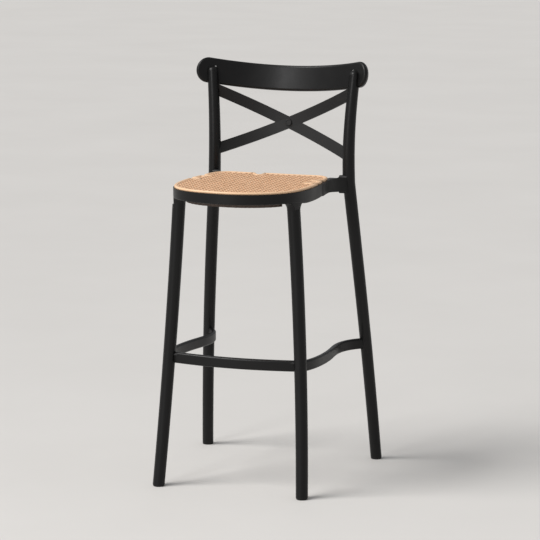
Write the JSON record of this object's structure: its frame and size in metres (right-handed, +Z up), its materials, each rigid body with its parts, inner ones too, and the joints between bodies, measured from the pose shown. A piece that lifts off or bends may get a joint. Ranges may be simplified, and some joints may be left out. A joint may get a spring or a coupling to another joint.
{
  "type": "bar stool with footrest",
  "caption": "Tall moulded bar stool with a round perforated seat insert, a curved crest rail over a crossed-strap back, splayed legs and a footrest.",
  "frame": {"origin": "on the floor, below the middle of the whole stool's box", "axes": "+Z up, -Y towards the sitter's front, +X to the right of someone facing the back rest"},
  "size_m": [0.5054, 0.5314, 1.0491],
  "materials": {
    "black_plastic": "satin moulded polypropylene, very finely textured",
    "strap_plastic": "slightly lighter, matter moulded polypropylene",
    "tan_plastic": "tan moulded polypropylene with a cane-like weave",
    "glide_plastic": "hard black nylon",
    "zinc_steel": "zinc-plated steel screws"
  },
  "bodies": {
    "root": {"seat_ring": "black_plastic", "seat_insert": "tan_plastic", "front_leg_left": "black_plastic", "front_leg_right": "black_plastic", "rear_leg_left": "black_plastic", "rear_leg_right": "black_plastic", "crest_rail": "black_plastic", "cross_strap_front": "strap_plastic", "cross_strap_back": "strap_plastic", "cross_boss": "strap_plastic", "boss_screw": "zinc_steel", "footrest_front_bar": "black_plastic", "footrest_side_bar_left": "black_plastic", "footrest_side_bar_right": "black_plastic", "glide_front_left": "glide_plastic", "glide_front_right": "glide_plastic", "glide_rear_left": "glide_plastic", "glide_rear_right": "glide_plastic", "front_leg_bolts": "zinc_steel", "arm_bolts": "zinc_steel", "footrest_screws": "zinc_steel", "joint_plugs": "black_plastic", "crest_screws": "zinc_steel", "insert_screws": "zinc_steel"}
  },
  "joints": []
}
